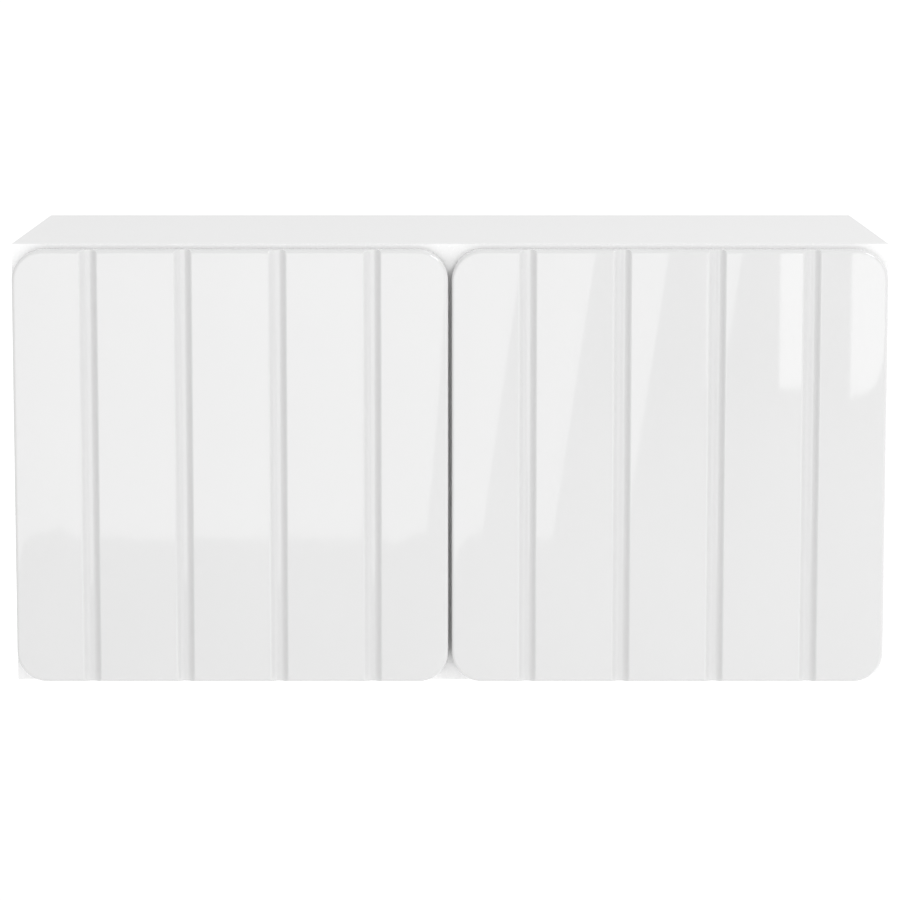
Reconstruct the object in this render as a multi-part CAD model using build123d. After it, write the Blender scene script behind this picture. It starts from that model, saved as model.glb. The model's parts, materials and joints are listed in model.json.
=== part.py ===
"""Hanging wall cabinet with two push-to-open doors on concealed cup hinges.

Millimetres. +X right, +Y towards the wall, +Z up. The origin is at the middle of the
footprint: x at the centre, y halfway between the door fronts and the wall, z at the
underside of the carcass.
"""

import os

from build123d import *

# ---------------------------------------------------------------- overall sizes
CABINET_WIDTH = 800.0
CABINET_HEIGHT = 405.0
CARCASS_DEPTH = 300.0
BOARD = 16.0  # melamine-faced board
BAND = 1.0  # edge band on the front edges

# ---------------------------------------------------------------- doors
DOOR_THICKNESS = 18.0
DOOR_STANDOFF = 2.0  # gap between the door's back and the carcass front
DOOR_SIDE_REVEAL = 2.0
DOOR_CENTRE_GAP = 3.0
DOOR_TOP_REVEAL = 4.0
DOOR_BOTTOM_REVEAL = 2.0
DOOR_CORNER_RADIUS = 28.0
DOOR_EDGE_RADIUS = 3.0
GROOVE_COUNT = 4
GROOVE_PITCH = 86.0
GROOVE_WIDTH = 16.0
GROOVE_FLOOR = 7.0
GROOVE_DEPTH = 5.0
GROOVE_FLOOR_RADIUS = 3.0

# ---------------------------------------------------------------- back and shelves
BACK_THICKNESS = 3.0
BACK_INSET = 18.0  # clear space behind the back panel
BACK_GROOVE_DEPTH = 8.0
BACK_GROOVE_PLAY = 0.5
SHELF_THICKNESS = 16.0
SHELF_SIDE_PLAY = 1.0
SHELF_FRONT_SETBACK = 20.0
SHELF_BACK_PLAY = 2.0
PIN_RADIUS = 2.5
PIN_IN_BOARD = 7.0
PIN_IN_CABINET = 10.0
PIN_HOLE_DEPTH = 7.5
PIN_HOLE_PLAY = 0.05
PIN_ROW_PITCH = 32.0
PIN_ROWS_EACH_WAY = 2
PIN_FRONT_LINE = 37.0  # from the carcass front to the front row of holes
PIN_BACK_LINE = 55.0  # from the back panel to the rear row of holes

# ---------------------------------------------------------------- board joints
DOWEL_RADIUS = 4.0
DOWEL_IN_PANEL = 10.0
DOWEL_IN_UPRIGHT = 20.0
DOWEL_SETBACKS = (30.0, 160.0)  # from the carcass front
CAM_RADIUS = 7.5
CAM_SKIN = 0.4  # of the cam, past the bolt's bore
CAM_FROM_END = 34.0  # from the upright's end to the middle of the cam
CAM_SETBACKS = (70.0, 200.0)
CAM_BOLT_RADIUS = 3.0
CAM_BOLT_HEAD_RADIUS = 3.5
CAM_BOLT_IN_PANEL = 11.0
CAM_BOLT_BORE_RADIUS = 4.0
CAM_BOLT_START = 1.0  # from the middle of the cam to the bolt's head
CAM_BOLT_HEAD = 2.5
CAM_SLOT = 1.6
CAM_SLOT_DEPTH = 2.0
CAM_SLOT_REACH = 5.0
JOINT_PLAY = 0.05

# ---------------------------------------------------------------- screws
SCREW_RADIUS = 1.8
SCREW_HEAD_RADIUS = 3.6
SCREW_HEAD_HEIGHT = 1.6
SCREW_IN_BOARD = 11.0
SCREW_IN_DOOR = 10.5
SCREW_IN_TOP = 9.0
SCREW_BORE_SPARE = 0.5  # depth of a screw's bore past its tip

# ---------------------------------------------------------------- cup hinges
# Pivot places are measured from the cabinet's outer side (u) and the carcass front (v).
HINGE_FROM_MIDDLE = 104.0  # height of each hinge above or below the door's middle
OUTER_ARM_PIVOT = (46.0, 3.3)
OUTER_CUP_PIVOT = (14.2, -3.6)
INNER_ARM_PIVOT = (30.6, -7.3)
INNER_CUP_PIVOT = (13.9, -6.8)
OPEN_PIVOT_PLAY = 0.55  # the inner link's cup end, where the closed linkage is opened
OUTER_LINK_BULGE = 2.0
INNER_LINK_BULGE = 3.7
LINK_HALF_WIDTH = 1.9
LINK_THICKNESS = 1.8
LAYER_GAP = 0.2
ARM_HALF_HEIGHT = 2.4
HINGE_PIN_RADIUS = 0.9
HINGE_PIN_PLAY = 0.05
CUP_CENTRE_FROM_EDGE = 22.5
CUP_RADIUS = 17.5
CUP_WALL = 1.0
CUP_DEPTH = 12.0
CUP_FLANGE_THICKNESS = 1.2
CUP_FLANGE_HALF_WIDTH = 11.0
CUP_SCREW_SPACING = 45.0
CUP_SCREW_OFFSET = 9.5
CUP_SLOT_HALF_HEIGHT = 7.6
CUP_PIN_SEAT = 2.4
PLATE_THICKNESS = 2.0
PLATE_SCREW_SPACING = 32.0
PLATE_SETBACK = 37.0
PLATE_WING_HALF_WIDTH = 7.0
PLATE_WING_HALF_HEIGHT = 24.0
PLATE_RIB_FRONT = 15.0  # from the plate's screws towards the door
PLATE_RIB_BACK = 22.0
PLATE_RIB_HEIGHT = 6.0
ARM_BEAM_HALF_HEIGHT = 6.5
ARM_TAIL_THICKNESS = 4.0
ARM_ELBOW_THICKNESS = 6.0
ARM_ELBOW = 21.0  # from the carcass front
ARM_NOSE_OVERLAP = 6.0
ARM_NOSE_STEP = 2.0
ARM_EYE_WALL = 0.4  # of the nose, past a link's half width
LINK_BENDS = (0.16, 0.6)  # along a link, from its cup end
CUP_FLANGE_END = 5.0  # of the flange, past a screw
CUP_FLANGE_EDGE = 5.5
CUP_SCREW_SINK = 0.3

# ---------------------------------------------------------------- push latches
LATCH_FROM_CENTRE = 33.0
LATCH_WIDTH = 16.0
LATCH_HEIGHT = 14.0
LATCH_LENGTH = 70.0
LATCH_SETBACK = 2.0
LATCH_CORNER_RADIUS = 3.0
LATCH_SCREW_SETBACKS = (14.0, 58.0)
LATCH_SCREW_HEIGHT = 2.2
PLUNGER_RADIUS = 4.0
PLUNGER_PLAY = 0.3  # between the plunger's tip and the strike plate
PLUNGER_BORE_PLAY = 0.08
PLUNGER_BORE_DEPTH = 52.0
PLUNGER_TAIL = 46.0
PLUNGER_TIP_RADIUS = 1.0
PLUNGER_DROP = 1.0  # below the middle of the latch
STRIKE_SIZE = 15.0
STRIKE_THICKNESS = 0.8
BUMPER_RADIUS = 4.0
BUMPER_THICKNESS = 1.7
BUMPER_DROP = 2.0  # of the upper bumper, below the middle of the top panel

# ---------------------------------------------------------------- cabinet hangers
HANGER_WIDTH = 18.0
HANGER_DEPTH = 58.0
HANGER_HEIGHT = 46.0
HANGER_PLAY = 1.0
HANGER_WALL = 2.0
HANGER_SIDE_WALL = 4.0
HANGER_FRONT_WALL = 12.0
HANGER_FLOOR = 16.0
HANGER_CORNER_RADIUS = 2.0
HANGER_SCREW_SETBACKS = (12.0, 46.0)
HANGER_SCREW_RISE = 7.0
HANGER_SCREW_SINK = 2.0
ADJUSTER_RADIUS = 3.5
ADJUSTER_BORE_RADIUS = 3.6
ADJUSTER_FROM_SIDE = 10.0
ADJUSTER_DROPS = (9.0, 22.0)
ADJUSTER_SETBACK = 1.0
ADJUSTER_LENGTH = 10.0
ADJUSTER_CROSS_DEPTH = 2.0
ADJUSTER_CROSS_REACH = 2.4
ADJUSTER_CROSS_HALF_WIDTH = 0.6
HOOK_THICKNESS = 3.0
HOOK_HEIGHT = 9.0
HOOK_TOOTH = 6.5
HOOK_TOOTH_WIDTH = 3.5
HOOK_DROP = 14.0  # of the hook's underside, below the top panel
HOOK_FROM_SIDE = 8.5
HOOK_PLAY = 0.5
HOOK_START = 1.0  # behind the housing's front wall
HOOK_WINDOW_SPARE = 4.0
WALL_PLATE_WIDTH = 78.0
WALL_PLATE_HEIGHT = 42.0
WALL_PLATE_THICKNESS = 2.0
WALL_PLATE_LIP = 10.0
WALL_PLATE_LIP_FROM_WALL = 12.0
WALL_PLATE_FROM_SIDE = 2.0
WALL_PLATE_HOLE_RADIUS = 3.0
WALL_PLATE_HOLE_SPACING = 44.0

# ---------------------------------------------------------------- derived places
HALF_WIDTH = CABINET_WIDTH / 2
OVERALL_DEPTH = CARCASS_DEPTH + DOOR_STANDOFF + DOOR_THICKNESS
Y_DOOR_FRONT = -OVERALL_DEPTH / 2
Y_DOOR_BACK = Y_DOOR_FRONT + DOOR_THICKNESS
Y_FRONT = Y_DOOR_BACK + DOOR_STANDOFF
Y_BOARD = Y_FRONT + BAND
Y_WALL = OVERALL_DEPTH / 2
Y_BACK_REAR = Y_WALL - BACK_INSET
Y_BACK_FACE = Y_BACK_REAR - BACK_THICKNESS
X_SIDE = HALF_WIDTH - BOARD  # inner face of a side panel
X_PARTITION = BOARD / 2
Z_FLOOR = BOARD
Z_CEILING = CABINET_HEIGHT - BOARD
DOOR_WIDTH = HALF_WIDTH - DOOR_SIDE_REVEAL - DOOR_CENTRE_GAP / 2
DOOR_HEIGHT = CABINET_HEIGHT - DOOR_TOP_REVEAL - DOOR_BOTTOM_REVEAL
DOOR_X = HALF_WIDTH - DOOR_SIDE_REVEAL - DOOR_WIDTH / 2
DOOR_Z = DOOR_BOTTOM_REVEAL + DOOR_HEIGHT / 2
HINGE_HEIGHTS = (DOOR_Z - HINGE_FROM_MIDDLE, DOOR_Z + HINGE_FROM_MIDDLE)
SHELF_UNDERSIDE = (Z_FLOOR + Z_CEILING - SHELF_THICKNESS) / 2
PIN_LINES = (Y_FRONT + PIN_FRONT_LINE, Y_BACK_FACE - PIN_BACK_LINE)
PIN_HEIGHT = SHELF_UNDERSIDE - PIN_RADIUS
CAM_DEPTH = BOARD / 2 + CAM_BOLT_BORE_RADIUS + CAM_SKIN
CUP_U = DOOR_SIDE_REVEAL + CUP_CENTRE_FROM_EDGE
PLUNGER_Z = Z_CEILING - LATCH_HEIGHT / 2 - PLUNGER_DROP
HANGER_TOP = Z_CEILING - HANGER_PLAY
HANGER_FRONT = Y_BACK_FACE - HANGER_PLAY - HANGER_DEPTH
HOOK_UNDERSIDE = Z_CEILING - HOOK_DROP
HOOK_TIP = HOOK_UNDERSIDE - HOOK_TOOTH
LIP_FRONT = Y_WALL - WALL_PLATE_LIP_FROM_WALL
CUT = 1.0  # a cutting shape's run past the face it opens


# ---------------------------------------------------------------- helpers
def block(x, y, z):
    """A box between pairs of limits on each axis."""
    size = [abs(b - a) for a, b in (x, y, z)]
    middle = [(a + b) / 2 for a, b in (x, y, z)]
    return Pos(*middle) * Box(*size)


def rod(start, end, radius):
    """A round bar between two points on a line along one axis."""
    start, end = Vector(*start), Vector(*end)
    plane = Plane(origin=start, z_dir=end - start)
    return extrude(plane * Circle(radius), (end - start).length)


def mirrored(shape):
    """The same piece on the cabinet's other side."""
    return mirror(shape, about=Plane.YZ)


def group(pieces):
    """Separate identical pieces kept together in one node."""
    return Compound(children=[solid for piece in pieces for solid in piece.solids()])


def local(u, v):
    """Left-hand hinge coordinates to the cabinet's x and y."""
    return (-HALF_WIDTH + u, Y_FRONT + v)


def profile(points, low, high):
    """A flat outline in hinge coordinates, drawn at heights from low to high."""
    outline = make_face(Polyline(*[local(u, v) for u, v in points], close=True))
    return extrude(Pos(0, 0, low) * outline, high - low)


def save(name, shape):
    """Write one node, as one solid or as a group of solids."""
    solids = list(shape.solids())
    node = solids[0] if len(solids) == 1 else Compound(children=solids)
    export_step(node, f"parts/{name}.step")


# ---------------------------------------------------------------- carcass
def upright_bores(x_middle):
    """Dowel and cam-bolt bores in both ends of a standing board, and in the boards they meet."""
    cuts = []
    for end, inward in ((Z_FLOOR, 1), (Z_CEILING, -1)):
        for setback in DOWEL_SETBACKS:
            y = Y_FRONT + setback
            low = end - inward * (DOWEL_IN_PANEL + JOINT_PLAY)
            high = end + inward * (DOWEL_IN_UPRIGHT + CUT)
            cuts.append(rod((x_middle, y, low), (x_middle, y, high), DOWEL_RADIUS + JOINT_PLAY))
        for setback in CAM_SETBACKS:
            y = Y_FRONT + setback
            joint = (x_middle, y, end)
            cam = (x_middle, y, end + inward * CAM_FROM_END)
            bolt_end = (x_middle, y, end - inward * (CAM_BOLT_IN_PANEL + JOINT_PLAY))
            cuts.append(rod(joint, cam, CAM_BOLT_BORE_RADIUS))
            cuts.append(rod(joint, bolt_end, CAM_BOLT_RADIUS + JOINT_PLAY))
    return cuts


def cam_places():
    """Height and setback of every cam in one standing board, with the way to its bolt."""
    for z, towards_bolt in ((Z_FLOOR + CAM_FROM_END, -1), (Z_CEILING - CAM_FROM_END, 1)):
        for setback in CAM_SETBACKS:
            yield z, Y_FRONT + setback, towards_bolt


def pin_holes(x_face, into_board):
    """Columns of shelf-pin holes in one inner face."""
    holes = []
    for y in PIN_LINES:
        for row in range(-PIN_ROWS_EACH_WAY, PIN_ROWS_EACH_WAY + 1):
            z = PIN_HEIGHT + row * PIN_ROW_PITCH
            floor = (x_face + into_board * PIN_HOLE_DEPTH, y, z)
            holes.append(rod((x_face, y, z), floor, PIN_RADIUS + PIN_HOLE_PLAY))
    return holes


def back_outline(play):
    """The back panel's block, or the groove that holds it when play is 0."""
    reach = BACK_GROOVE_DEPTH - play
    return block(
        (-X_SIDE - reach, X_SIDE + reach),
        (Y_BACK_FACE, Y_BACK_REAR),
        (Z_FLOOR - reach, Z_CEILING + reach),
    )


def make_side():
    """Left side panel, with every bore that is machined into it."""
    panel = block((-HALF_WIDTH, -X_SIDE), (Y_BOARD, Y_WALL), (Z_FLOOR, Z_CEILING))
    cuts = upright_bores(-HALF_WIDTH + BOARD / 2) + pin_holes(-X_SIDE, -1) + [back_outline(0)]
    for z, y, _ in cam_places():
        depth = CAM_DEPTH + JOINT_PLAY
        cuts.append(rod((-X_SIDE, y, z), (-X_SIDE - depth, y, z), CAM_RADIUS + JOINT_PLAY))
    for y, z in [*plate_screw_places(), *hanger_screw_places()]:
        bore_end = -X_SIDE - SCREW_IN_BOARD - SCREW_BORE_SPARE
        cuts.append(rod((-X_SIDE, y, z), (bore_end, y, z), SCREW_RADIUS + JOINT_PLAY))
    return panel - cuts


def make_partition():
    """Centre partition, stopping at the back panel."""
    panel = block((-X_PARTITION, X_PARTITION), (Y_BOARD, Y_BACK_FACE), (Z_FLOOR, Z_CEILING))
    cuts = upright_bores(0) + pin_holes(-X_PARTITION, 1) + pin_holes(X_PARTITION, -1)
    for z, y, _ in cam_places():
        depth = CAM_DEPTH + JOINT_PLAY
        cuts.append(rod((-X_PARTITION, y, z), (-X_PARTITION + depth, y, z), CAM_RADIUS + JOINT_PLAY))
    return panel - cuts


def make_flat_panel(z_low, z_high):
    """Top or bottom panel, running over the uprights."""
    panel = block((-HALF_WIDTH, HALF_WIDTH), (Y_BOARD, Y_WALL), (z_low, z_high))
    side_bores = upright_bores(-HALF_WIDTH + BOARD / 2)
    cuts = side_bores + [mirrored(bore) for bore in side_bores]
    cuts += upright_bores(0) + [back_outline(0)]
    for x, y in latch_screw_places():
        bore_end = Z_CEILING + SCREW_IN_TOP + SCREW_BORE_SPARE
        cuts.append(rod((x, y, Z_CEILING), (x, y, bore_end), SCREW_RADIUS + JOINT_PLAY))
    return panel - cuts


def make_back():
    """Thin back panel with a window for each hanger's hook."""
    panel = back_outline(BACK_GROOVE_PLAY)
    window = block(
        (-X_SIDE, -X_SIDE + HANGER_WIDTH + HANGER_PLAY),
        (Y_BACK_FACE, Y_BACK_REAR),
        (HOOK_TIP - HOOK_WINDOW_SPARE, Z_CEILING),
    )
    return panel - [window, mirrored(window)]


def make_edge_bands():
    """Bands on the front edges of the carcass boards."""
    y = (Y_FRONT, Y_BOARD)
    side = block((-HALF_WIDTH, -X_SIDE), y, (Z_FLOOR, Z_CEILING))
    return group(
        [
            block((-HALF_WIDTH, HALF_WIDTH), y, (Z_CEILING, CABINET_HEIGHT)),
            block((-HALF_WIDTH, HALF_WIDTH), y, (0, Z_FLOOR)),
            side,
            mirrored(side),
            block((-X_PARTITION, X_PARTITION), y, (Z_FLOOR, Z_CEILING)),
        ]
    )


def dowel(x, y, end, inward):
    """One dowel across a joint between a standing board and a flat one."""
    low = end - inward * DOWEL_IN_PANEL
    high = end + inward * DOWEL_IN_UPRIGHT
    return rod((x, y, low), (x, y, high), DOWEL_RADIUS)


def make_cam(x_face, into_board, y, z, towards_bolt):
    """A cam disc with a cross slot, and the bore that takes the bolt's head."""
    disc = rod((x_face, y, z), (x_face + into_board * CAM_DEPTH, y, z), CAM_RADIUS)
    slot_end = x_face + into_board * CAM_SLOT_DEPTH
    half = CAM_SLOT / 2
    reach = CAM_SLOT_REACH
    long_slot = block((x_face, slot_end), (y - reach, y + reach), (z - half, z + half))
    cross_slot = block((x_face, slot_end), (y - half, y + half), (z - reach, z + reach))
    x_bolt = x_face + into_board * BOARD / 2
    rim = z + towards_bolt * (CAM_RADIUS + CUT)
    bore = rod((x_bolt, y, z), (x_bolt, y, rim), CAM_BOLT_BORE_RADIUS)
    return disc - [long_slot, cross_slot, bore]


def make_cam_bolt(x, y, z, towards_bolt):
    """A bolt screwed into the flat board, with its head inside the cam."""
    start = z + towards_bolt * CAM_BOLT_START
    neck = start + towards_bolt * CAM_BOLT_HEAD
    end = z + towards_bolt * (CAM_FROM_END + CAM_BOLT_IN_PANEL)
    head = rod((x, y, start), (x, y, neck), CAM_BOLT_HEAD_RADIUS)
    shank = rod((x, y, neck), (x, y, end), CAM_BOLT_RADIUS)
    return shank + head


def make_joint_fittings():
    """All dowels, cams and cam bolts of the carcass."""
    dowels, cams, bolts = [], [], []
    boards = (
        (-HALF_WIDTH + BOARD / 2, -X_SIDE, -1),
        (0.0, -X_PARTITION, 1),
        (HALF_WIDTH - BOARD / 2, X_SIDE, 1),
    )
    for x, x_face, into_board in boards:
        for end, inward in ((Z_FLOOR, 1), (Z_CEILING, -1)):
            for setback in DOWEL_SETBACKS:
                dowels.append(dowel(x, Y_FRONT + setback, end, inward))
        for z, y, towards_bolt in cam_places():
            cams.append(make_cam(x_face, into_board, y, z, towards_bolt))
            bolts.append(make_cam_bolt(x, y, z, towards_bolt))
    return group(dowels), group(cams), group(bolts)


# ---------------------------------------------------------------- shelves
def make_shelf():
    """Left shelf board with its own front edge band left off."""
    return block(
        (-X_SIDE + SHELF_SIDE_PLAY, -X_PARTITION - SHELF_SIDE_PLAY),
        (Y_FRONT + SHELF_FRONT_SETBACK + BAND, Y_BACK_FACE - SHELF_BACK_PLAY),
        (SHELF_UNDERSIDE, SHELF_UNDERSIDE + SHELF_THICKNESS),
    )


def make_shelf_band():
    """Band on the left shelf's front edge."""
    y_front = Y_FRONT + SHELF_FRONT_SETBACK
    return block(
        (-X_SIDE + SHELF_SIDE_PLAY, -X_PARTITION - SHELF_SIDE_PLAY),
        (y_front, y_front + BAND),
        (SHELF_UNDERSIDE, SHELF_UNDERSIDE + SHELF_THICKNESS),
    )


def make_shelf_pins():
    """Four pins under each shelf."""
    pins = []
    for y in PIN_LINES:
        for x_face, inward in ((-X_SIDE, 1), (-X_PARTITION, -1)):
            start = (x_face - inward * PIN_IN_BOARD, y, PIN_HEIGHT)
            end = (x_face + inward * PIN_IN_CABINET, y, PIN_HEIGHT)
            pins.append(rod(start, end, PIN_RADIUS))
    return group(pins + [mirrored(pin) for pin in pins])


# ---------------------------------------------------------------- doors
def make_door():
    """Left door: rounded slab, eased front edge, four grooves, cup bores in the back."""
    back = Plane(origin=(-DOOR_X, Y_DOOR_BACK, DOOR_Z), x_dir=(1, 0, 0), z_dir=(0, -1, 0))
    outline = back * RectangleRounded(DOOR_WIDTH, DOOR_HEIGHT, DOOR_CORNER_RADIUS)
    slab = extrude(outline, DOOR_THICKNESS)
    front_edges = slab.faces().sort_by(Axis.Y)[0].edges()
    slab = fillet(front_edges, DOOR_EDGE_RADIUS)
    cuts = []
    for index in range(GROOVE_COUNT):
        offset = (index - (GROOVE_COUNT - 1) / 2) * GROOVE_PITCH
        cuts.append(groove_cutter(-DOOR_X + offset))
    for z in HINGE_HEIGHTS:
        x, _ = local(CUP_U, 0)
        cuts.append(rod((x, Y_DOOR_BACK, z), (x, Y_DOOR_BACK - CUP_DEPTH, z), CUP_RADIUS))
        for side in (-1, 1):
            x_screw, z_screw = x + CUP_SCREW_OFFSET, z + side * CUP_SCREW_SPACING / 2
            start = (x_screw, Y_DOOR_BACK, z_screw)
            end = (x_screw, Y_DOOR_BACK - SCREW_IN_DOOR - SCREW_BORE_SPARE, z_screw)
            cuts.append(rod(start, end, SCREW_RADIUS + JOINT_PLAY))
    return slab - cuts


def groove_cutter(x_middle):
    """A full-height cutter with the groove's section: sloping walls and a softened floor."""
    deep = Y_DOOR_FRONT + GROOVE_DEPTH
    points = [
        (x_middle - GROOVE_WIDTH / 2, Y_DOOR_FRONT),
        (x_middle - GROOVE_FLOOR / 2, deep),
        (x_middle + GROOVE_FLOOR / 2, deep),
        (x_middle + GROOVE_WIDTH / 2, Y_DOOR_FRONT),
        (x_middle + GROOVE_WIDTH / 2, Y_DOOR_FRONT - CUT),
        (x_middle - GROOVE_WIDTH / 2, Y_DOOR_FRONT - CUT),
    ]
    outline = make_face(Polyline(*points, close=True))
    floor_corners = outline.vertices().sort_by(Axis.Y)[-2:]
    outline = fillet(floor_corners, GROOVE_FLOOR_RADIUS)
    return extrude(outline, CABINET_HEIGHT)


def make_bumpers():
    """Two soft bumpers on the left door's back, near its free edge."""
    pieces = []
    x = -LATCH_FROM_CENTRE - LATCH_WIDTH
    y_face = Y_DOOR_BACK + BUMPER_THICKNESS
    for z in (BOARD / 2, CABINET_HEIGHT - BOARD / 2 - BUMPER_DROP):
        pieces.append(rod((x, Y_DOOR_BACK, z), (x, y_face, z), BUMPER_RADIUS))
    return group(pieces)


# ---------------------------------------------------------------- cup hinges
def plate_screw_places():
    """Depth and height of the hinge-plate screws in a side panel."""
    for z in HINGE_HEIGHTS:
        for side in (-1, 1):
            yield Y_FRONT + PLATE_SETBACK, z + side * PLATE_SCREW_SPACING / 2


def pan_head_screw(face, tip):
    """A screw: a shank from the face to its tip, and a low round head standing off the face."""
    outward = (Vector(*face) - Vector(*tip)).normalized()
    top = Vector(*face) + outward * SCREW_HEAD_HEIGHT
    return rod(face, tip, SCREW_RADIUS) + rod(face, tuple(top), SCREW_HEAD_RADIUS)


def make_hinge_plate(z):
    """Mounting plate: a flat wing on the side panel and a raised rib for the arm."""
    x, y = local(BOARD, PLATE_SETBACK)
    wing = block(
        (x, x + PLATE_THICKNESS),
        (y - PLATE_WING_HALF_WIDTH, y + PLATE_WING_HALF_WIDTH),
        (z - PLATE_WING_HALF_HEIGHT, z + PLATE_WING_HALF_HEIGHT),
    )
    rib = block(
        (x, x + PLATE_RIB_HEIGHT),
        (y - PLATE_RIB_FRONT, y + PLATE_RIB_BACK),
        (z - ARM_BEAM_HALF_HEIGHT, z + ARM_BEAM_HALF_HEIGHT),
    )
    plate = wing + rib
    for side in (-1, 1):
        z_screw = z + side * PLATE_SCREW_SPACING / 2
        end = (x + PLATE_THICKNESS + CUT, y, z_screw)
        plate -= rod((x - CUT, y, z_screw), end, SCREW_RADIUS + JOINT_PLAY)
    return plate


def make_arm(z):
    """Arm: clipped on the plate's rib, with a thin nose that carries both link pivots."""
    u_rib = BOARD + PLATE_RIB_HEIGHT
    u_elbow = u_rib + ARM_ELBOW_THICKNESS
    v_tail = PLATE_SETBACK + PLATE_RIB_BACK
    beam = profile(
        [
            (u_rib, v_tail),
            (u_rib + ARM_TAIL_THICKNESS, v_tail),
            (u_elbow, ARM_ELBOW),
            (u_rib, ARM_ELBOW),
        ],
        z - ARM_BEAM_HALF_HEIGHT,
        z + ARM_BEAM_HALF_HEIGHT,
    )
    (a_u, a_v), (b_u, b_v) = OUTER_ARM_PIVOT, INNER_ARM_PIVOT
    w = LINK_HALF_WIDTH + ARM_EYE_WALL
    nose = profile(
        [
            (u_rib, ARM_ELBOW + ARM_NOSE_OVERLAP),
            (u_elbow, ARM_ELBOW + ARM_NOSE_OVERLAP),
            (a_u + w, a_v + w),
            (a_u + w, a_v - w),
            (a_u - w, a_v - w),
            (b_u + 2.5 * w, a_v - 1.2 * w),
            (b_u + w, b_v - w),
            (b_u - w, b_v - w),
            (b_u - w, b_v + w),
            (b_u - 0.2 * w, a_v + w),
            (a_u - 3 * w, a_v + 2.5 * w),
            (u_rib, ARM_ELBOW - ARM_NOSE_STEP),
        ],
        z - ARM_HALF_HEIGHT,
        z + ARM_HALF_HEIGHT,
    )
    arm = beam + nose
    for u, v in (OUTER_ARM_PIVOT, INNER_ARM_PIVOT):
        x, y = local(u, v)
        reach = ARM_BEAM_HALF_HEIGHT + CUT
        arm -= rod((x, y, z - reach), (x, y, z + reach), HINGE_PIN_RADIUS)
    return arm


def layer_limits(number):
    """Heights above the hinge's middle of a link layer: 0 is next to the arm's nose."""
    low = ARM_HALF_HEIGHT + LAYER_GAP + number * (LINK_THICKNESS + LAYER_GAP)
    return low, low + LINK_THICKNESS


def make_link(arm_pivot, cup_pivot, number, bulge, cup_play):
    """A pair of bowed link plates, one each side of the arm's nose, seen along the pins."""
    cup_end, arm_end = Vector(*cup_pivot), Vector(*arm_pivot)
    along = (arm_end - cup_end).normalized()
    across = Vector(along.Y, -along.X)
    length = (arm_end - cup_end).length
    bends = [cup_end + along * (part * length) + across * bulge for part in LINK_BENDS]
    route = Polyline(*[local(p.X, p.Y) for p in (cup_end, *bends, arm_end)])
    outline = make_face(offset(route, LINK_HALF_WIDTH).edges())
    plates = []
    low, high = layer_limits(number)
    for z in HINGE_HEIGHTS:
        for start in (z + low, z - high):
            plate = extrude(Pos(0, 0, start) * outline, high - low)
            for (u, v), play in ((arm_pivot, HINGE_PIN_PLAY), (cup_pivot, cup_play)):
                x, y = local(u, v)
                hole_end = (x, y, start + LINK_THICKNESS + CUT)
                plate -= rod((x, y, start - CUT), hole_end, HINGE_PIN_RADIUS + play)
            plates.append(plate)
    return group(plates)


def make_cup(z):
    """Cup pressed into the door, with two cheeks that hold the pins and a screwed flange."""
    x, _ = local(CUP_U, 0)
    top = Y_DOOR_BACK + CUP_FLANGE_THICKNESS
    floor = Y_DOOR_BACK - CUP_DEPTH
    body = rod((x, floor, z), (x, Y_DOOR_BACK, z), CUP_RADIUS)
    flange_half = CUP_SCREW_SPACING / 2 + CUP_FLANGE_END
    flange = block(
        (x - CUP_FLANGE_HALF_WIDTH, x + CUP_SCREW_OFFSET + CUP_FLANGE_EDGE),
        (Y_DOOR_BACK, top),
        (z - flange_half, z + flange_half),
    )
    cavity = rod((x, floor + CUP_WALL, z), (x, top, z), CUP_RADIUS - CUP_WALL)
    slot = block(
        (x - CUP_RADIUS - CUT, x + CUP_RADIUS + CUT),
        (floor, top),
        (z - CUP_SLOT_HALF_HEIGHT, z + CUP_SLOT_HALF_HEIGHT),
    )
    cup = body + flange - (cavity & slot)
    for u, v in (OUTER_CUP_PIVOT, INNER_CUP_PIVOT):
        px, py = local(u, v)
        reach = CUP_SLOT_HALF_HEIGHT + CUP_PIN_SEAT
        cup -= rod((px, py, z - reach), (px, py, z + reach), HINGE_PIN_RADIUS)
    for side in (-1, 1):
        z_screw = z + side * CUP_SCREW_SPACING / 2
        x_screw = x + CUP_SCREW_OFFSET
        end = (x_screw, top + CUT, z_screw)
        cup -= rod((x_screw, Y_DOOR_BACK - CUT, z_screw), end, SCREW_RADIUS + JOINT_PLAY)
    return cup


def make_arm_pins():
    """Link pins held in the arms' noses, each only as long as its own link layer needs."""
    pins = []
    reaches = ((OUTER_ARM_PIVOT, layer_limits(1)[1]), (INNER_ARM_PIVOT, layer_limits(0)[1]))
    for z in HINGE_HEIGHTS:
        for (u, v), reach in reaches:
            x, y = local(u, v)
            pins.append(rod((x, y, z - reach), (x, y, z + reach), HINGE_PIN_RADIUS))
    return group(pins)


def make_cup_pins():
    """Pins held in the cup's cheeks: a stub each side for the outer link, one long for the inner."""
    pins = []
    end = CUP_SLOT_HALF_HEIGHT + CUP_PIN_SEAT
    stub = layer_limits(1)[0]
    for z in HINGE_HEIGHTS:
        x, y = local(*OUTER_CUP_PIVOT)
        for side in (-1, 1):
            pins.append(rod((x, y, z + side * stub), (x, y, z + side * end), HINGE_PIN_RADIUS))
        x, y = local(*INNER_CUP_PIVOT)
        pins.append(rod((x, y, z - end), (x, y, z + end), HINGE_PIN_RADIUS))
    return group(pins)


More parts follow.
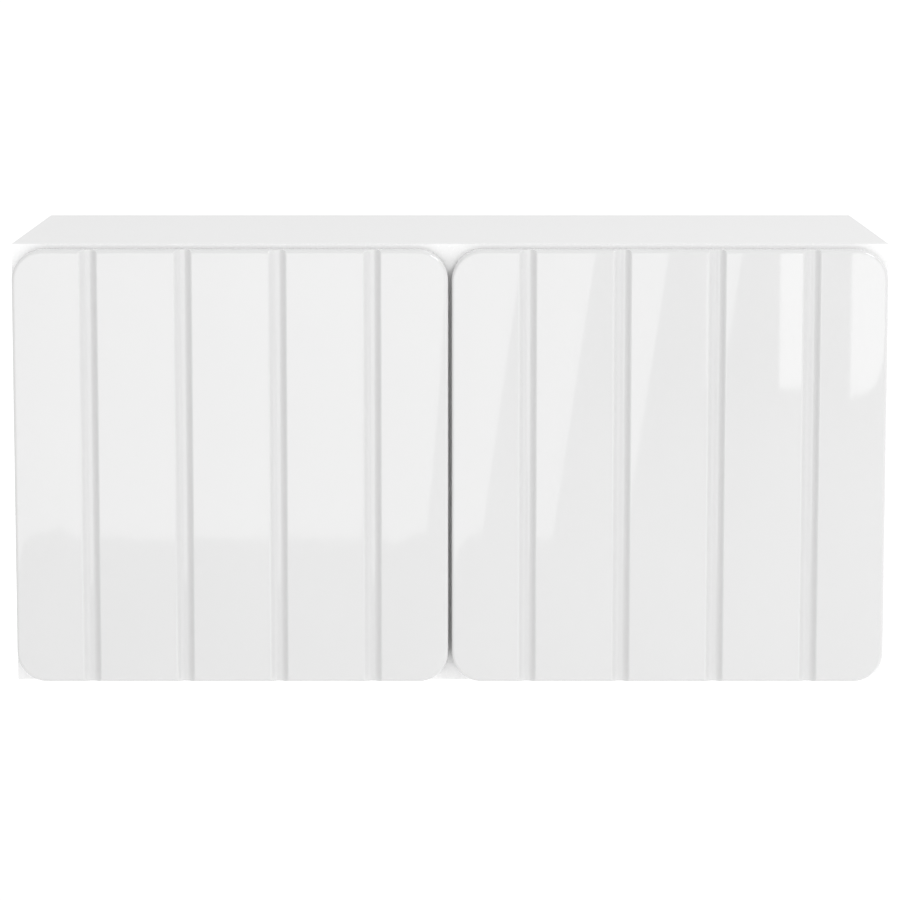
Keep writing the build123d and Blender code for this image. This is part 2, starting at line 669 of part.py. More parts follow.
def make_cup_screws():
    """Two screws for each cup flange."""
    screws = []
    x = local(CUP_U, 0)[0] + CUP_SCREW_OFFSET
    y_head = Y_DOOR_BACK + CUP_FLANGE_THICKNESS - CUP_SCREW_SINK
    y_tip = Y_DOOR_BACK - SCREW_IN_DOOR
    for z in HINGE_HEIGHTS:
        for side in (-1, 1):
            z_screw = z + side * CUP_SCREW_SPACING / 2
            screws.append(rod((x, y_head, z_screw), (x, y_tip, z_screw), SCREW_RADIUS))
    return group(screws)


def make_plate_screws():
    """Two screws for each hinge plate."""
    x_face = -X_SIDE + PLATE_THICKNESS
    x_tip = -X_SIDE - SCREW_IN_BOARD
    screws = [pan_head_screw((x_face, y, z), (x_tip, y, z)) for y, z in plate_screw_places()]
    return group(screws + [mirrored(screw) for screw in screws])


# ---------------------------------------------------------------- push latches
def latch_screw_places():
    """Screws that hold the latches under the top panel."""
    for side in (-1, 1):
        for setback in LATCH_SCREW_SETBACKS:
            yield side * LATCH_FROM_CENTRE, Y_FRONT + LATCH_SETBACK + setback


def make_latch_housing():
    """Left latch body, bored for its plunger."""
    x = -LATCH_FROM_CENTRE
    y_start = Y_FRONT + LATCH_SETBACK
    body = block(
        (x - LATCH_WIDTH / 2, x + LATCH_WIDTH / 2),
        (y_start, y_start + LATCH_LENGTH),
        (Z_CEILING - LATCH_HEIGHT, Z_CEILING),
    )
    body = fillet(body.edges().filter_by(Axis.Y).sort_by(Axis.Z)[:2], LATCH_CORNER_RADIUS)
    bore_end = (x, y_start + PLUNGER_BORE_DEPTH, PLUNGER_Z)
    cuts = [rod((x, y_start, PLUNGER_Z), bore_end, PLUNGER_RADIUS + PLUNGER_BORE_PLAY)]
    z_low = Z_CEILING - LATCH_SCREW_HEIGHT
    for setback in LATCH_SCREW_SETBACKS:
        y = y_start + setback
        cuts.append(rod((x, y, z_low), (x, y, Z_CEILING + CUT), SCREW_RADIUS + JOINT_PLAY))
    return body - cuts


def make_plunger():
    """Round plunger with an eased tip, resting just off the strike plate."""
    x = -LATCH_FROM_CENTRE
    tip = Y_DOOR_BACK + STRIKE_THICKNESS + PLUNGER_PLAY
    tail = Y_FRONT + LATCH_SETBACK + PLUNGER_TAIL
    bar = rod((x, tip, PLUNGER_Z), (x, tail, PLUNGER_Z), PLUNGER_RADIUS)
    return fillet(bar.edges().sort_by(Axis.Y)[0], PLUNGER_TIP_RADIUS)


def make_strike():
    """Small metal plate on the left door, facing the plunger."""
    half = STRIKE_SIZE / 2
    return block(
        (-LATCH_FROM_CENTRE - half, -LATCH_FROM_CENTRE + half),
        (Y_DOOR_BACK, Y_DOOR_BACK + STRIKE_THICKNESS),
        (PLUNGER_Z - half, PLUNGER_Z + half),
    )


def make_latch_screws():
    """Screws through the latch housings into the top panel."""
    low = Z_CEILING - LATCH_SCREW_HEIGHT
    high = Z_CEILING + SCREW_IN_TOP
    return group([rod((x, y, low), (x, y, high), SCREW_RADIUS) for x, y in latch_screw_places()])


# ---------------------------------------------------------------- cabinet hangers
def hanger_screw_places():
    """Depth and height of the hanger's fixing screws in a side panel."""
    for setback in HANGER_SCREW_SETBACKS:
        yield HANGER_FRONT + setback, HANGER_TOP - HANGER_HEIGHT + HANGER_SCREW_RISE


def make_hanger_housing():
    """Left hanger body: a moulded box open towards the wall."""
    x = (-X_SIDE, -X_SIDE + HANGER_WIDTH)
    y = (HANGER_FRONT, Y_BACK_FACE - HANGER_PLAY)
    z = (HANGER_TOP - HANGER_HEIGHT, HANGER_TOP)
    body = block(x, y, z)
    body = fillet(body.edges().filter_by(Axis.Z).sort_by(Axis.X)[2:], HANGER_CORNER_RADIUS)
    cavity = block(
        (x[0] + HANGER_SIDE_WALL, x[1] - HANGER_WALL),
        (y[0] + HANGER_FRONT_WALL, y[1]),
        (z[0] + HANGER_FLOOR, z[1] - HANGER_WALL),
    )
    cuts = [cavity]
    x_screw = x[0] + ADJUSTER_FROM_SIDE
    for drop in ADJUSTER_DROPS:
        start = (x_screw, y[0], HANGER_TOP - drop)
        end = (x_screw, y[0] + HANGER_FRONT_WALL, HANGER_TOP - drop)
        cuts.append(rod(start, end, ADJUSTER_BORE_RADIUS))
    for y_hole, z_hole in hanger_screw_places():
        cuts.append(rod((x[0], y_hole, z_hole), (x[1], y_hole, z_hole), SCREW_RADIUS + JOINT_PLAY))
    return body - cuts


def make_adjusting_screws():
    """Height and depth adjusting screws with a driver cross."""
    screws = []
    x = -X_SIDE + ADJUSTER_FROM_SIDE
    y_head = HANGER_FRONT + ADJUSTER_SETBACK
    y = (y_head, y_head + ADJUSTER_CROSS_DEPTH)
    half, reach = ADJUSTER_CROSS_HALF_WIDTH, ADJUSTER_CROSS_REACH
    for drop in ADJUSTER_DROPS:
        z = HANGER_TOP - drop
        screw = rod((x, y_head, z), (x, y_head + ADJUSTER_LENGTH, z), ADJUSTER_RADIUS)
        screw -= [
            block((x - reach, x + reach), y, (z - half, z + half)),
            block((x - half, x + half), y, (z - reach, z + reach)),
        ]
        screws.append(screw)
    return group(screws + [mirrored(screw) for screw in screws])


def make_hook():
    """Left hook: a flat steel bar with a tooth that drops behind the wall plate's lip."""
    x_low = -X_SIDE + HOOK_FROM_SIDE
    x = (x_low, x_low + HOOK_THICKNESS)
    z = HOOK_UNDERSIDE
    start = HANGER_FRONT + HANGER_FRONT_WALL + HOOK_START
    tooth_front = LIP_FRONT + WALL_PLATE_THICKNESS + HOOK_PLAY
    tooth_back = tooth_front + HOOK_TOOTH_WIDTH
    bar = block(x, (start, tooth_back), (z, z + HOOK_HEIGHT))
    tooth = block(x, (tooth_front, tooth_back), (HOOK_TIP, z))
    return bar + tooth


def make_wall_plate():
    """Left wall plate: flat against the wall, with an upturned lip for the hook."""
    z_high = HOOK_UNDERSIDE - WALL_PLATE_LIP
    x_low = -X_SIDE + WALL_PLATE_FROM_SIDE
    x = (x_low, x_low + WALL_PLATE_WIDTH)
    t = WALL_PLATE_THICKNESS
    plate = block(x, (Y_WALL - t, Y_WALL), (z_high - WALL_PLATE_HEIGHT, z_high))
    shelf = block(x, (LIP_FRONT, Y_WALL), (z_high, z_high + t))
    lip = block(x, (LIP_FRONT, LIP_FRONT + t), (z_high + t, HOOK_UNDERSIDE))
    plate = plate + shelf + lip
    middle = x_low + WALL_PLATE_WIDTH / 2
    z_hole = z_high - WALL_PLATE_HEIGHT / 2
    for side in (-1, 1):
        x_hole = middle + side * WALL_PLATE_HOLE_SPACING / 2
        start = (x_hole, Y_WALL - t - CUT, z_hole)
        plate -= rod(start, (x_hole, Y_WALL + CUT, z_hole), WALL_PLATE_HOLE_RADIUS)
    return plate


def make_hanger_screws():
    """Fixing screws of both hangers, sunk through the housing into the side panel."""
    x_head = -X_SIDE + HANGER_WIDTH - HANGER_SCREW_SINK
    x_tip = -X_SIDE - SCREW_IN_BOARD
    screws = [rod((x_head, y, z), (x_tip, y, z), SCREW_RADIUS) for y, z in hanger_screw_places()]
    return group(screws + [mirrored(screw) for screw in screws])


# ---------------------------------------------------------------- build
def both_sides(name, left):
    """Save a left-hand piece and its mirror image."""
    save(f"{name}_left", left)
    save(f"{name}_right", mirrored(left))


def main():
    os.makedirs("parts", exist_ok=True)
    save("top_panel", make_flat_panel(Z_CEILING, CABINET_HEIGHT))
    save("bottom_panel", make_flat_panel(0, Z_FLOOR))
    both_sides("side_panel", make_side())
    save("centre_partition", make_partition())
    save("back_panel", make_back())
    save("front_edge_bands", make_edge_bands())
    both_sides("shelf", make_shelf())
    band = make_shelf_band()
    save("shelf_edge_bands", group([band, mirrored(band)]))
    save("shelf_pins", make_shelf_pins())
    dowels, cams, bolts = make_joint_fittings()
    save("dowels", dowels)
    save("cam_discs", cams)
    save("cam_bolts", bolts)

    both_sides("door", make_door())
    both_sides("door_bumpers", make_bumpers())

    for level, z in zip(("lower", "upper"), HINGE_HEIGHTS):
        both_sides(f"hinge_plate_{level}", make_hinge_plate(z))
        both_sides(f"hinge_arm_{level}", make_arm(z))
        both_sides(f"hinge_cup_{level}", make_cup(z))
    outer = make_link(OUTER_ARM_PIVOT, OUTER_CUP_PIVOT, 1, OUTER_LINK_BULGE, HINGE_PIN_PLAY)
    inner = make_link(INNER_ARM_PIVOT, INNER_CUP_PIVOT, 0, INNER_LINK_BULGE, OPEN_PIVOT_PLAY)
    both_sides("hinge_outer_links", outer)
    both_sides("hinge_inner_links", inner)
    both_sides("hinge_arm_pins", make_arm_pins())
    both_sides("hinge_cup_pins", make_cup_pins())
    both_sides("hinge_cup_screws", make_cup_screws())
    save("hinge_plate_screws", make_plate_screws())

    both_sides("latch_housing", make_latch_housing())
    both_sides("latch_plunger", make_plunger())
    both_sides("strike_plate", make_strike())
    save("latch_screws", make_latch_screws())

    both_sides("hanger_housing", make_hanger_housing())
    both_sides("hanger_hook", make_hook())
    both_sides("wall_plate", make_wall_plate())
    save("hanger_adjusting_screws", make_adjusting_screws())
    save("hanger_fixing_screws", make_hanger_screws())


main()
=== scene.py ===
"""Looks of the hanging wall cabinet: gloss doors, satin boards, plated fittings, soft studio light."""

import json
import math

import bmesh
import bpy
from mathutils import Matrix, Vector


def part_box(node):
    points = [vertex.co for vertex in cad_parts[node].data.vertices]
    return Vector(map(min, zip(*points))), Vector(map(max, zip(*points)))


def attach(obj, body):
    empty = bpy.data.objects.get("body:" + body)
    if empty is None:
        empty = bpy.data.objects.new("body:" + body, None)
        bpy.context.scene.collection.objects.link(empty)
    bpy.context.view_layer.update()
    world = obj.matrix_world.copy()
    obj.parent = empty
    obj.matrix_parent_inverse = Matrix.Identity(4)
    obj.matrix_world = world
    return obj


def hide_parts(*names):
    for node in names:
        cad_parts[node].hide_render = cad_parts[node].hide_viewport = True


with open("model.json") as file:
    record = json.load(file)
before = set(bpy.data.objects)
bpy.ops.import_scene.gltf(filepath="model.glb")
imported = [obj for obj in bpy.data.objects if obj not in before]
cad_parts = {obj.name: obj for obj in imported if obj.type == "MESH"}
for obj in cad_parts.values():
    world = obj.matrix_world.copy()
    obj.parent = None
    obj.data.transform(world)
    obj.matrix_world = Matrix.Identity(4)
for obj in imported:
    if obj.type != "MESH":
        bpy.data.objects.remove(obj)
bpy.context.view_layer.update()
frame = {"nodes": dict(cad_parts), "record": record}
nodes = frame["nodes"]
slot_of = {row["node"]: row["material_slot"] for row in frame["record"]["subparts"]}
SIDES = ("left", "right")
MM = 0.001
NOISE_LOW, NOISE_HIGH = 0.3, 0.7  # the part of a noise's range that is used


# ---------------------------------------------------------------- materials
def new_material(name, colour, roughness, metallic=0.0):
    """A Principled material with its fixed values on the shader's own sockets."""
    material = bpy.data.materials.new(name)
    material.use_nodes = True
    shader = material.node_tree.nodes["Principled BSDF"]
    shader.inputs["Base Color"].default_value = (*colour, 1.0)
    shader.inputs["Roughness"].default_value = roughness
    shader.inputs["Metallic"].default_value = metallic
    return material, shader


def object_noise(material, scale, detail=3.0, stretch=(1.0, 1.0, 1.0)):
    """Noise in object space, stretched along an axis for a grain."""
    tree = material.node_tree
    place = tree.nodes.new("ShaderNodeTexCoord")
    mapping = tree.nodes.new("ShaderNodeMapping")
    mapping.inputs["Scale"].default_value = stretch
    noise = tree.nodes.new("ShaderNodeTexNoise")
    noise.inputs["Scale"].default_value = scale
    noise.inputs["Detail"].default_value = detail
    tree.links.new(place.outputs["Object"], mapping.inputs["Vector"])
    tree.links.new(mapping.outputs["Vector"], noise.inputs["Vector"])
    return noise.outputs["Fac"]


def spread_between(material, factor, low, high):
    """Maps a 0 to 1 factor to a range of values."""
    tree = material.node_tree
    ranged = tree.nodes.new("ShaderNodeMapRange")
    ranged.inputs["From Min"].default_value = NOISE_LOW
    ranged.inputs["From Max"].default_value = NOISE_HIGH
    ranged.inputs["To Min"].default_value = low
    ranged.inputs["To Max"].default_value = high
    tree.links.new(factor, ranged.inputs["Value"])
    return ranged.outputs["Result"]


def colour_between(material, factor, dark, light):
    """Blends two colours by a factor."""
    tree = material.node_tree
    ramp = tree.nodes.new("ShaderNodeValToRGB")
    ramp.color_ramp.elements[0].position = NOISE_LOW
    ramp.color_ramp.elements[0].color = (*dark, 1.0)
    ramp.color_ramp.elements[1].position = NOISE_HIGH
    ramp.color_ramp.elements[1].color = (*light, 1.0)
    tree.links.new(factor, ramp.inputs["Fac"])
    return ramp.outputs["Color"]


def add_bump(material, shader, height, distance, strength):
    """Feeds a height into the shader's normal."""
    tree = material.node_tree
    bump = tree.nodes.new("ShaderNodeBump")
    bump.inputs["Distance"].default_value = distance
    bump.inputs["Strength"].default_value = strength
    tree.links.new(height, bump.inputs["Height"])
    tree.links.new(bump.outputs["Normal"], shader.inputs["Normal"])


def curvature_tint(material, dark, light):
    """A colour that turns lighter on sharp edges and darker in hollows, from the mesh's own curvature."""
    geometry = material.node_tree.nodes.new("ShaderNodeNewGeometry")
    edges = spread_between(material, geometry.outputs["Pointiness"], 0.0, 1.0)
    return colour_between(material, edges, dark, light)


def vary_roughness(material, shader, factor, low, high):
    """Lets the roughness follow a factor between two values."""
    material.node_tree.links.new(spread_between(material, factor, low, high), shader.inputs["Roughness"])


def vary_colour(material, shader, tint):
    """Feeds a colour into the shader's base colour."""
    material.node_tree.links.new(tint, shader.inputs["Base Color"])


def gloss_lacquer():
    """White lacquer with a faint orange peel."""
    material, shader = new_material("gloss_lacquer", (0.63, 0.63, 0.63), 0.04)
    shader.inputs["Coat Weight"].default_value = 0.35
    shader.inputs["Coat Roughness"].default_value = 0.03
    peel = object_noise(material, 260.0, 2.0)
    add_bump(material, shader, peel, 0.00002, 0.12)
    vary_roughness(material, shader, peel, 0.03, 0.06)
    cloud = object_noise(material, 5.0, 2.0)
    vary_colour(material, shader, colour_between(material, cloud, (0.626,) * 3, (0.634,) * 3))
    return material


def white_board(name, level, roughness, pore_scale):
    """Melamine or foil: satin white with a fine pressed pore."""
    material, shader = new_material(name, (level, level, level), roughness)
    pore = object_noise(material, pore_scale, 6.0)
    add_bump(material, shader, pore, 0.00006, 0.35)
    vary_roughness(material, shader, pore, roughness - 0.04, roughness + 0.04)
    dark, light = (level - 0.012,) * 3, (level + 0.012,) * 3
    vary_colour(material, shader, colour_between(material, pore, dark, light))
    return material


def metal(name, colour, roughness, grain, stretch=(1.0, 1.0, 1.0)):
    """Plated or bare metal with fine drawn marks."""
    material, shader = new_material(name, colour, roughness, 1.0)
    marks = object_noise(material, grain, 5.0, stretch)
    add_bump(material, shader, marks, 0.00004, 0.3)
    vary_roughness(material, shader, marks, roughness - 0.08, roughness + 0.1)
    dark = tuple(c * 0.86 for c in colour)
    light = tuple(min(1.0, c * 1.1) for c in colour)
    vary_colour(material, shader, curvature_tint(material, dark, light))
    return material


def plastic(name, colour, roughness):
    """Moulded plastic with spark-eroded texture."""
    material, shader = new_material(name, colour, roughness)
    texture = object_noise(material, 1800.0, 3.0)
    add_bump(material, shader, texture, 0.00005, 0.3)
    cloud = object_noise(material, 60.0, 3.0)
    vary_roughness(material, shader, cloud, roughness - 0.06, roughness + 0.06)
    dark = tuple(c * 0.93 for c in colour)
    vary_colour(material, shader, curvature_tint(material, dark, colour))
    return material


def beech():
    """Beech with its grain along the dowel."""
    material, shader = new_material("beech", (0.62, 0.42, 0.24), 0.6)
    grain = object_noise(material, 120.0, 5.0, (6.0, 6.0, 0.6))
    add_bump(material, shader, grain, 0.0001, 0.4)
    tint = colour_between(material, grain, (0.5, 0.32, 0.17), (0.72, 0.52, 0.32))
    vary_colour(material, shader, tint)
    return material


MATERIALS = {
    "gloss_lacquer": gloss_lacquer(),
    "white_melamine": white_board("white_melamine", 0.715, 0.32, 900.0),
    # edge_band is set lighter than white_melamine: painted light, which brightens the carcass's front edges
    # where the strip above the doors lies in shade.
    "edge_band": white_board("edge_band", 0.85, 0.25, 500.0),
    "back_board": white_board("back_board", 0.8, 0.45, 700.0),
    "beech": beech(),
    "zinc": metal("zinc", (0.5, 0.5, 0.51), 0.42, 300.0),
    "plated_fasteners": metal("plated_fasteners", (0.72, 0.72, 0.7), 0.26, 600.0),
    "nickel_plated_steel": metal("nickel_plated_steel", (0.7, 0.68, 0.64), 0.2, 400.0, (1.0, 0.2, 1.0)),
    "galvanised_steel": metal("galvanised_steel", (0.58, 0.6, 0.61), 0.36, 90.0),
    "grey_plastic": plastic("grey_plastic", (0.55, 0.55, 0.55), 0.45),
    "plunger_plastic": plastic("plunger_plastic", (0.1, 0.1, 0.105), 0.4),
    "clear_rubber": plastic("clear_rubber", (0.75, 0.75, 0.74), 0.3),
}


WELD_DISTANCE = 0.000002
EASE_ANGLE = 38  # degrees: edges sharper than this are eased


def dress(node, bevel):
    """Gives a CAD node its material, and eases its edges without moving its mesh."""
    obj = nodes[node]
    obj.data.materials.clear()
    obj.data.materials.append(MATERIALS[slot_of[node]])
    if "custom_normal" in obj.data.attributes:
        obj.data.attributes.remove(obj.data.attributes["custom_normal"])
    for polygon in obj.data.polygons:
        polygon.use_smooth = True
    weld = obj.modifiers.new("weld", "WELD")
    weld.merge_threshold = WELD_DISTANCE
    ease = obj.modifiers.new("ease", "BEVEL")
    ease.width = bevel
    ease.segments = 2
    ease.limit_method = "ANGLE"
    ease.angle_limit = math.radians(EASE_ANGLE)
    ease.harden_normals = True


# ---------------------------------------------------------------- doors
GROOVES = 4
GROOVE_PITCH = 86 * MM
GROOVE_HALF = 8 * MM
GROOVE_FLOOR_HALF = 3.5 * MM
GROOVE_DEPTH = 5 * MM
EDGE_RADIUS = 3 * MM
CORNER_RADIUS = 28 * MM
SOFT = 2.4 * MM  # softening of the groove's floor corners
LIP = 1.0 * MM  # softening of the groove's upper edges
ROUND_STEPS = 8
CORNER_STEPS = 14
COLUMN_STEPS = 24  # columns each side of a groove's middle
COLUMN_MARGIN = 1.0 * MM  # of the columns, past the groove's edge
BACK_EASE = 0.5 * MM
SMOOTH_ANGLE = 35  # degrees: edges sharper than this stay crisp
BORE_SEGMENTS = 96
CUTTER_SPARE = 0.002  # of the cutter, past the door's back
BARREL_START = 0.006  # from the door's back to where only the cup's barrel is left


def groove_depth(offset):
    """Depth of a groove at a distance from its middle: a trapezoid with soft corners."""
    slope_length = GROOVE_HALF - GROOVE_FLOOR_HALF
    ramp = (GROOVE_HALF - abs(offset)) / slope_length * GROOVE_DEPTH
    floor_soft = SOFT * GROOVE_DEPTH / slope_length
    lip_soft = LIP * GROOVE_DEPTH / slope_length
    capped = smooth_min(ramp, GROOVE_DEPTH, floor_soft)
    return -smooth_min(-capped, 0.0, lip_soft)


def smooth_min(a, b, radius):
    """The lower of two values, with a smooth change where they cross."""
    blend = max(radius - abs(a - b), 0.0) / radius if radius else 0.0
    return min(a, b) - blend * blend * radius / 4


def door_columns(middle, half_width):
    """Places across the straight top edge, close together in each groove."""
    straight = half_width - CORNER_RADIUS
    places = {-straight, straight}
    for index in range(GROOVES):
        centre = (index - (GROOVES - 1) / 2) * GROOVE_PITCH
        for step in range(-COLUMN_STEPS, COLUMN_STEPS + 1):
            places.add(centre + step / COLUMN_STEPS * (GROOVE_HALF + COLUMN_MARGIN))
    return [middle + place for place in sorted(places)]


def door_ring(middle, height_middle, half_width, half_height, inset):
    """One ring of (x, z) points round the door, inset from its outline, anticlockwise from bottom left."""
    columns = door_columns(middle, half_width)
    radius = CORNER_RADIUS - inset
    x_left, x_right = middle - half_width + CORNER_RADIUS, middle + half_width - CORNER_RADIUS
    z_low, z_high = height_middle - half_height + CORNER_RADIUS, height_middle + half_height - CORNER_RADIUS
    ring = [(x, z_low - radius) for x in columns]

    def arc(x, z, start):
        for step in range(1, CORNER_STEPS):
            angle = start + step / CORNER_STEPS * math.pi / 2
            ring.append((x + radius * math.cos(angle), z + radius * math.sin(angle)))

    arc(x_right, z_low, -math.pi / 2)
    ring.append((x_right + radius, z_low))
    ring.append((x_right + radius, z_high))
    arc(x_right, z_high, 0)
    ring += [(x, z_high + radius) for x in reversed(columns)]
    arc(x_left, z_high, math.pi / 2)
    ring.append((x_left - radius, z_high))
    ring.append((x_left - radius, z_low))
    arc(x_left, z_low, math.pi)
    return ring


def make_door(side):
    """A door with rolled edges and milled grooves."""
    low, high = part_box(f"door_{side}")
    middle, height_middle = (low.x + high.x) / 2, (low.z + high.z) / 2
    half_width, half_height = (high.x - low.x) / 2, (high.z - low.z) / 2
    centres = [middle + (i - (GROOVES - 1) / 2) * GROOVE_PITCH for i in range(GROOVES)]

    def surface(x, rounding):
        groove = max(groove_depth(x - centre) for centre in centres)
        return low.y + max(rounding, groove)

    def outline(inset):
        return door_ring(middle, height_middle, half_width, half_height, inset)

    mesh = bmesh.new()
    rings = []
    for y, inset in ((high.y, BACK_EASE), (high.y - BACK_EASE, 0)):
        rings.append([mesh.verts.new((x, y, z)) for x, z in outline(inset)])
    for step in range(ROUND_STEPS + 1):
        angle = step / ROUND_STEPS * math.pi / 2
        inset = EDGE_RADIUS * (1 - math.cos(angle))
        rounding = EDGE_RADIUS * (1 - math.sin(angle))
        rings.append([mesh.verts.new((x, surface(x, rounding), z)) for x, z in outline(inset)])
    for outer, inner in zip(rings, rings[1:]):
        for i in range(len(outer)):
            j = (i + 1) % len(outer)
            mesh.faces.new((outer[i], outer[j], inner[j], inner[i]))
    fill_between_columns(mesh, rings[-1])
    mesh.faces.new(list(reversed(rings[0])))
    bmesh.ops.recalc_face_normals(mesh, faces=mesh.faces)
    data = bpy.data.meshes.new(f"door_skin_{side}")
    mesh.to_mesh(data)
    mesh.free()
    door = bpy.data.objects.new(f"door_skin_{side}", data)
    bpy.context.scene.collection.objects.link(door)
    bore_for_cups(door, side, high.y)
    smooth_by_angle(door.data, SMOOTH_ANGLE)
    door.data.materials.append(MATERIALS["gloss_lacquer"])
    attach(door, f"door_{side}")
    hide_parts(f"door_{side}")


def fill_between_columns(mesh, ring):
    """Faces across the door, each between two neighbouring columns of its ring."""
    columns = len(ring) // 2 - 2 * CORNER_STEPS
    right_high = columns + CORNER_STEPS
    left_low = 2 * columns + 3 * CORNER_STEPS
    lower = ring[left_low:] + ring[:right_high]
    upper = list(reversed(ring[right_high:left_low]))
    for i in range(len(lower) - 1):
        mesh.faces.new((lower[i], lower[i + 1], upper[i + 1], upper[i]))


def bore_for_cups(door, side, y_back):
    """Cuts the cups' round bores into the door's back.

    Known fault: only the lower bore comes out cut.
    """
    mesh = bmesh.new()
    for level in ("lower", "upper"):
        low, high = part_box(f"hinge_cup_{level}_{side}")
        cup_low, cup_high = low.y, y_back + CUTTER_SPARE
        vertices = nodes[f"hinge_cup_{level}_{side}"].data.vertices
        inner = [v.co for v in vertices if v.co.y < y_back - BARREL_START]
        x = (min(p.x for p in inner) + max(p.x for p in inner)) / 2
        z = (low.z + high.z) / 2
        radius = (max(p.x for p in inner) - min(p.x for p in inner)) / 2
        made = bmesh.ops.create_cone(
            mesh,
            cap_ends=True,
            segments=BORE_SEGMENTS,
            radius1=radius,
            radius2=radius,
            depth=cup_high - cup_low,
        )
        for vert in made["verts"]:
            px, py, pz = vert.co
            vert.co = Vector((x + px, (cup_low + cup_high) / 2 + pz, z + py))
    bmesh.ops.recalc_face_normals(mesh, faces=mesh.faces)
    data = bpy.data.meshes.new("cutter")
    mesh.to_mesh(data)
    mesh.free()
    cutter = bpy.data.objects.new("cutter", data)
    bpy.context.scene.collection.objects.link(cutter)
    modifier = door.modifiers.new("bores", "BOOLEAN")
    modifier.object = cutter
    modifier.operation = "DIFFERENCE"
    modifier.solver = "EXACT"
    bpy.context.view_layer.update()
    done = bpy.data.meshes.new_from_object(door.evaluated_get(bpy.context.evaluated_depsgraph_get()))
    door.modifiers.clear()
    door.data = done
    bpy.data.objects.remove(cutter)


def smooth_by_angle(data, degrees):
    """Smooth shading, with edges sharper than the angle kept crisp."""
    mesh = bmesh.new()
    mesh.from_mesh(data)
    for face in mesh.faces:
        face.smooth = True
    for edge in mesh.edges:
        angle = edge.calc_face_angle(0.0)
        edge.smooth = angle < math.radians(degrees)
    mesh.to_mesh(data)
    mesh.free()


# ---------------------------------------------------------------- dressing of the CAD nodes
BOARD_EASES = {"white_melamine": 0.3 * MM, "edge_band": 0.2 * MM, "back_board": 0.15 * MM}
FITTING_EASE = 0.12 * MM
for name in nodes:
    if name in ("door_left", "door_right"):
        continue
    dress(name, BOARD_EASES.get(slot_of[name], FITTING_EASE))
for which in SIDES:
    make_door(which)

# ---------------------------------------------------------------- room, light and camera
FLOOR_Z = -0.5
FLOOR_HALF = 60.0
WHITE = (1.0, 1.0, 1.0, 1.0)
WORLD_LEVEL = 0.95
WORLD_SLOPE = (0.12, 0.0, 0.0)
KEY_PLACE, KEY_TARGET = (3.1, -4.1, 4.0), (0.0, 0.0, 0.2)
KEY_SIZE, KEY_POWER = (2.0, 1.3), 109.0
PANEL_STRENGTH, WINDOW_STRENGTH = 2.3, 2.9
CAMERA_PLACE, CAMERA_TILT = (0.0, -3.125, 0.692), 0.1175
CAMERA_LENS, CAMERA_SENSOR = 131.5, 36.0
CAMERA_SHIFT = -0.15  # the photograph's own -0.63 would push the cabinet out of the other views


def make_floor():
    """A wide pale floor below the hanging cabinet."""
    mesh = bmesh.new()
    bmesh.ops.create_grid(mesh, x_segments=4, y_segments=4, size=FLOOR_HALF)
    for vert in mesh.verts:
        vert.co.z = FLOOR_Z
    data = bpy.data.meshes.new("floor")
    mesh.to_mesh(data)
    mesh.free()
    floor = bpy.data.objects.new("floor", data)
    bpy.context.scene.collection.objects.link(floor)
    material, shader = new_material("pale_floor", (0.95, 0.95, 0.95), 0.95)
    shader.inputs["Emission Color"].default_value = WHITE
    shader.inputs["Emission Strength"].default_value = 0.16
    data.materials.append(material)


def area_light(name, place, target, size, power):
    """A soft rectangular light aimed at a point."""
    data = bpy.data.lights.new(name, "AREA")
    data.shape = "RECTANGLE"
    data.size, data.size_y = size
    data.energy = power
    light = bpy.data.objects.new(name, data)
    light.location = place
    light.rotation_euler = (Vector(target) - Vector(place)).to_track_quat("-Z", "Y").to_euler()
    light.visible_camera = False
    bpy.context.scene.collection.objects.link(light)


# Corners (x, z) of two bright cards in front of the cabinet. Only glossy rays see them.
CARD_Y = -3.1
DIAGONAL_CARD = (
    (-1.6, -1.2),
    (-0.05, -1.2),
    (-0.05, -0.53),
    (0.038, -0.53),
    (0.30, 0.13),
    (0.42, 0.43),
    (-1.6, 0.43),
)
CORNER_CARD = ((0.69, -0.05), (1.2, -0.05), (1.2, 0.5), (0.69, 0.5))


def reflection_card(name, corners, strength):
    """A bright card that only glossy rays see, so it casts no diffuse light."""
    mesh = bpy.data.meshes.new(name)
    mesh.from_pydata([(x, CARD_Y, z) for x, z in corners], [], [tuple(range(len(corners)))])
    material = bpy.data.materials.new(name)
    material.use_nodes = True
    tree = material.node_tree
    tree.nodes.remove(tree.nodes["Principled BSDF"])
    glow = tree.nodes.new("ShaderNodeEmission")
    glow.inputs["Strength"].default_value = strength
    tree.links.new(glow.outputs["Emission"], tree.nodes["Material Output"].inputs["Surface"])
    mesh.materials.append(material)
    card = bpy.data.objects.new(name, mesh)
    card.visible_camera = False
    card.visible_diffuse = False
    card.visible_shadow = False
    card.visible_transmission = False
    bpy.context.scene.collection.objects.link(card)


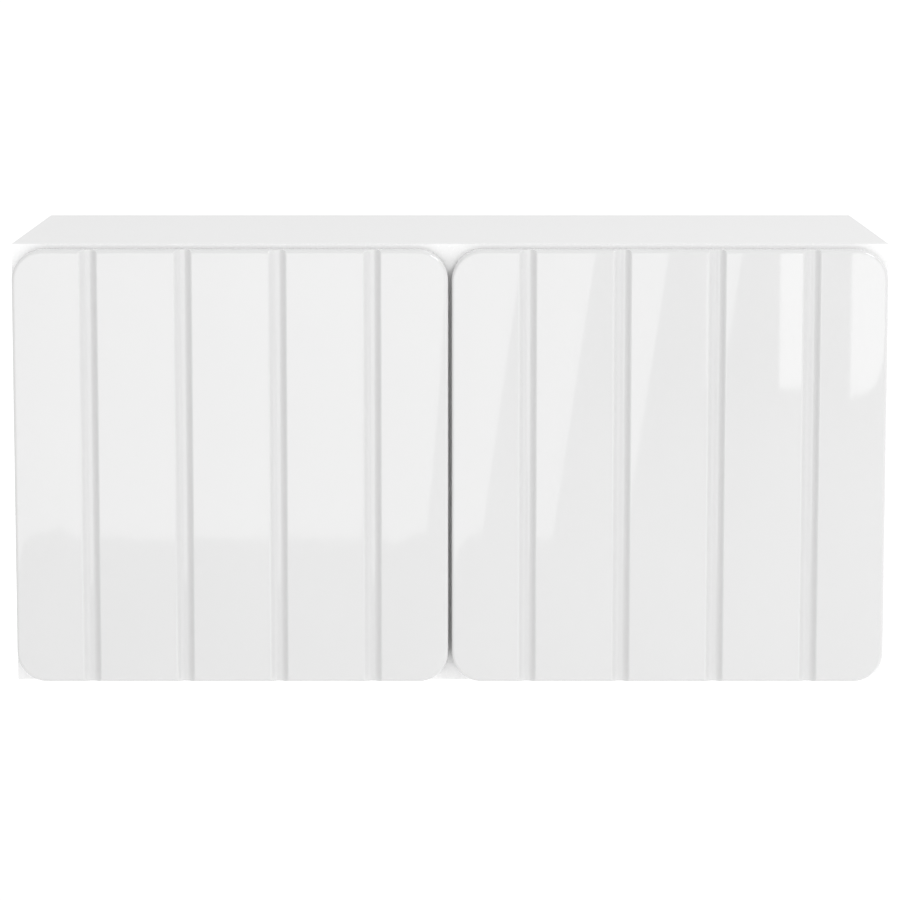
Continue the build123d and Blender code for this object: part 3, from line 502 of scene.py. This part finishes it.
def make_world(level, slope):
    """A white surround whose light grows along a direction; the camera sees it plain white."""
    world = bpy.data.worlds.new("studio")
    bpy.context.scene.world = world
    world.use_nodes = True
    tree = world.node_tree
    background = tree.nodes["Background"]
    background.inputs["Color"].default_value = WHITE
    direction = tree.nodes.new("ShaderNodeTexCoord")
    along = tree.nodes.new("ShaderNodeVectorMath")
    along.operation = "DOT_PRODUCT"
    along.inputs[1].default_value = slope
    total = tree.nodes.new("ShaderNodeMath")
    total.operation = "ADD"
    total.inputs[1].default_value = level
    tree.links.new(direction.outputs["Generated"], along.inputs[0])
    tree.links.new(along.outputs["Value"], total.inputs[0])
    tree.links.new(total.outputs["Value"], background.inputs["Strength"])
    plain = tree.nodes.new("ShaderNodeBackground")
    plain.inputs["Color"].default_value = WHITE
    plain.inputs["Strength"].default_value = 1.0
    path = tree.nodes.new("ShaderNodeLightPath")
    choice = tree.nodes.new("ShaderNodeMixShader")
    tree.links.new(path.outputs["Is Camera Ray"], choice.inputs["Fac"])
    tree.links.new(background.outputs["Background"], choice.inputs[1])
    tree.links.new(plain.outputs["Background"], choice.inputs[2])
    tree.links.new(choice.outputs["Shader"], tree.nodes["World Output"].inputs["Surface"])


def make_camera():
    """A long lens above the cabinet's top, looking slightly down along +Y."""
    data = bpy.data.cameras.new("camera")
    data.sensor_width = CAMERA_SENSOR
    data.lens = CAMERA_LENS
    data.shift_y = CAMERA_SHIFT
    data.clip_end = 200.0
    camera = bpy.data.objects.new("camera", data)
    camera.location = CAMERA_PLACE
    camera.rotation_euler = (math.pi / 2 - CAMERA_TILT, 0.0, 0.0)
    bpy.context.scene.collection.objects.link(camera)
    bpy.context.scene.camera = camera


make_floor()
make_world(WORLD_LEVEL, WORLD_SLOPE)
area_light("key", KEY_PLACE, KEY_TARGET, KEY_SIZE, KEY_POWER)
reflection_card("reflected_panel", DIAGONAL_CARD, PANEL_STRENGTH)
reflection_card("reflected_window", CORNER_CARD, WINDOW_STRENGTH)
make_camera()
bpy.context.scene.view_settings.view_transform = "Standard"
